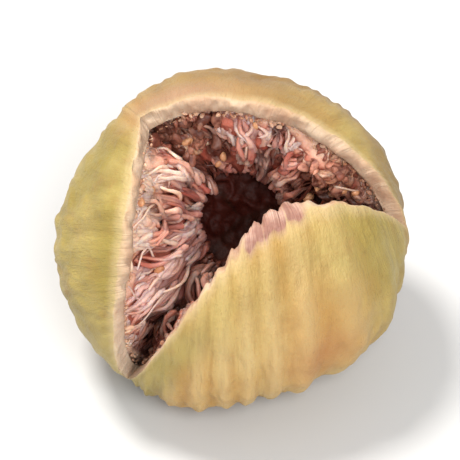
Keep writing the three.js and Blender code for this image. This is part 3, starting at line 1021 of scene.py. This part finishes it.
def strand_material():
    n = Nodes("fig_threads")
    along, depth_shade, shade = n.mask("along"), n.mask("depth_shade"), n.mask("shade")
    patches = n.noise(260, 2, 0.5)
    root = n.mix(shade, tone(162, 76, 62), tone(212, 134, 114))
    rosy = n.mix(shade, tone(236, 156, 134), tone(255, 220, 202))
    red = n.mix(shade, tone(172, 84, 74), tone(216, 142, 126))
    redder = n.math("ADD", n.mask("tone"), n.math("MULTIPLY", n.mask("red"), 0.35))
    tip = n.blend(redder, 0.6, 0.8, rosy, red)
    lilac = n.mix(shade, tone(234, 162, 148), tone(255, 214, 202))
    tip = n.tint(tip, n.mask("lilac"), n.ramp(patches, 0.35, 0.55), lilac)
    brown = n.mix(shade, tone(176, 108, 76), tone(236, 174, 134))
    tip = n.tint(tip, n.mask("brown"), 0.8, brown)
    # Darker at the roots, paler at the tips: partly the florets' own colour, partly painted shade
    # where they meet the wall.
    color = n.blend(along, 0.05, 0.6, root, tip)
    # Strands with a light value below 1 lie low between the others and are darkened by it: painted
    # shade.
    shaded_mat = n.mix(shade, tone(112, 48, 36), tone(172, 92, 72))
    color = n.mix(n.mask("light"), shaded_mat, color)
    color = n.tint(color, n.mask("pale"), 0.85, tone(255, 210, 182))
    color = n.tint(color, n.mask("wiry"), 0.65, tone(255, 214, 190))
    # Darker towards the hollow: painted shade.
    color = n.tint(color, n.ramp(depth_shade, 0.46, 0.64), 0.9, tone(80, 34, 24))
    color = n.tint(color, n.mask("shadow"), 0.9, tone(70, 34, 22))
    # Darker in the gaps between florets: painted shade.
    color = n.tint(color, n.mask("gap"), 0.85, tone(78, 32, 22))
    fleck = n.ramp(n.noise(1500, 3, 0.6), 0.42, 0.68)
    color = n.tint(color, fleck, 0.25, tone(170, 92, 72))
    normal = n.bump(n.noise(2600, 3, 0.6), 0.00012, 0.8)
    return n.finish(color, 0.38, normal, 0.5, 0.0012, 0.35)


def floret_material():
    n = Nodes("fig_florets")
    shade = n.mask("shade")
    color = n.mix(shade, tone(140, 80, 62), tone(206, 144, 120))
    color = n.blend(n.noise(1300, 3, 0.6), 0.42, 0.7, color, tone(116, 62, 50))
    color = n.tint(color, n.mask("shadow"), 0.85, tone(62, 31, 20))
    # Darker towards the hollow: painted shade.
    color = n.blend(n.mask("depth_shade"), 0.44, 0.62, color, tone(60, 26, 18))
    # Darker in the gaps between florets: painted shade.
    color = n.tint(color, n.mask("gap"), 0.85, tone(66, 30, 20))
    normal = n.bump(n.noise(2400, 3, 0.6), 0.0001, 0.8)
    return n.finish(color, 0.45, normal, 0.3, 0.0008, 0.3)


def crumb_material():
    n = Nodes("pith_crumbs")
    color = n.mix(n.mask("shade"), tone(180, 126, 100), tone(222, 178, 150))
    color = n.blend(n.noise(900, 3, 0.6), 0.5, 0.75, color, tone(172, 120, 98))
    color = n.tint(color, n.mask("brown"), 0.7, tone(142, 92, 66))
    color = n.tint(color, n.mask("shadow"), 0.6, tone(110, 68, 50))
    normal = n.bump(n.noise(2400, 3, 0.6), 0.0001, 0.8)
    return n.finish(color, 0.5, normal, 0.4, 0.001, 0.3)


def seed_material():
    n = Nodes("fig_seeds")
    color = n.mix(n.mask("tone"), tone(196, 134, 94), tone(226, 170, 126))
    color = n.blend(n.noise(1600, 3, 0.6), 0.45, 0.75, color, tone(150, 96, 62))
    normal = n.bump(n.noise(4200, 2, 0.6), 0.00005, 0.6)
    return n.finish(color, 0.4, normal, 0.2, 0.0005, 0.45)


def stalk_material():
    n = Nodes("dry_stalk")
    along = n.mask("along")
    stretched = n.add("ShaderNodeMapping", Vector=n.place(), Scale=(3.0, 0.5, 1.5))
    grain = n.noise(1500, 4, 0.65, stretched)
    bark = n.blend(grain, 0.35, 0.65, tone(112, 82, 50), tone(176, 140, 92))
    bark = n.tint(bark, n.ramp(along, 0.5, 1.0), 0.35, tone(96, 66, 40))
    wood = n.blend(grain, 0.4, 0.7, tone(196, 162, 116), tone(150, 112, 72))
    color = n.mix(n.mask("cut"), bark, wood)
    normal = n.bump(grain, 0.00025, 0.9)
    return n.finish(color, 0.75, normal, 0.05, 0.0005, 0.3)


rind = build_rind()
pulp_wall = build_pulp_body()
strands = build_strands()
florets = build_florets()
seeds = build_seeds()
crumbs = build_crumbs()
stalk = build_stalk()
finishes = [
    (rind, skin_material(), "rind"),
    (pulp_wall, pulp_material(), "pulp"),
    (strands, strand_material(), "pulp"),
    (florets, floret_material(), "pulp"),
    (seeds, seed_material(), "pulp"),
    (crumbs, crumb_material(), "rind"),
    (stalk, stalk_material(), "stalk"),
]
for piece, material, slot in finishes:
    piece.data.materials.append(material)
    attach(piece, "root")
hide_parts("rind")
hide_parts("pulp")
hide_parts("stalk")


# Floor, lights and camera.
def build_floor():
    mesh = bpy.data.meshes.new("floor")
    turns = [(-1, -1), (1, -1), (1, 1), (-1, 1)]
    corners = [(FLOOR_REACH * x, FLOOR_REACH * y, 0) for x, y in turns]
    mesh.from_pydata(corners, [], [(0, 1, 2, 3)])
    floor = bpy.data.objects.new("floor", mesh)
    bpy.context.scene.collection.objects.link(floor)
    paper = Nodes("pale_paper")
    paper.surface.inputs["Base Color"].default_value = FLOOR_COLOR
    paper.surface.inputs["Roughness"].default_value = 0.9
    mesh.materials.append(paper.material)


def add_light(name, place, size, power, color):
    light = bpy.data.lights.new(name, "AREA")
    light.shape = "DISK"
    light.size = size
    light.energy = power
    light.color = color
    lamp = bpy.data.objects.new(name, light)
    lamp.location = place
    aim = LIGHT_TARGET - lamp.location
    lamp.rotation_euler = aim.to_track_quat("-Z", "Y").to_euler()
    bpy.context.scene.collection.objects.link(lamp)


def add_camera():
    camera = bpy.data.cameras.new("camera")
    camera.lens = camera.sensor_width * CAMERA_DISTANCE / VIEW_WIDTH
    camera.clip_start = CAMERA_NEAREST
    eye = bpy.data.objects.new("camera", camera)
    rise = math.radians(CAMERA_RISE)
    back = Vector((0, -math.cos(rise), math.sin(rise)))
    eye.location = CAMERA_TARGET + CAMERA_DISTANCE * back
    eye.rotation_euler = (-back).to_track_quat("-Z", "Y").to_euler()
    bpy.context.scene.collection.objects.link(eye)
    bpy.context.scene.camera = eye


build_floor()
add_light("key", place=(-0.14, 0.06, 0.42), size=0.12, power=2.2, color=(1, 0.98, 0.94))
add_light("front", place=(0.12, -0.4, 0.42), size=0.3, power=2.8, color=(1, 1, 1))
add_camera()
world = bpy.data.worlds.new("studio")
world.use_nodes = True
sky = world.node_tree.nodes["Background"].inputs
sky["Color"].default_value = (1, 1, 1, 1)
sky["Strength"].default_value = WORLD_STRENGTH
bpy.context.scene.world = world
bpy.context.scene.view_settings.view_transform = "Standard"
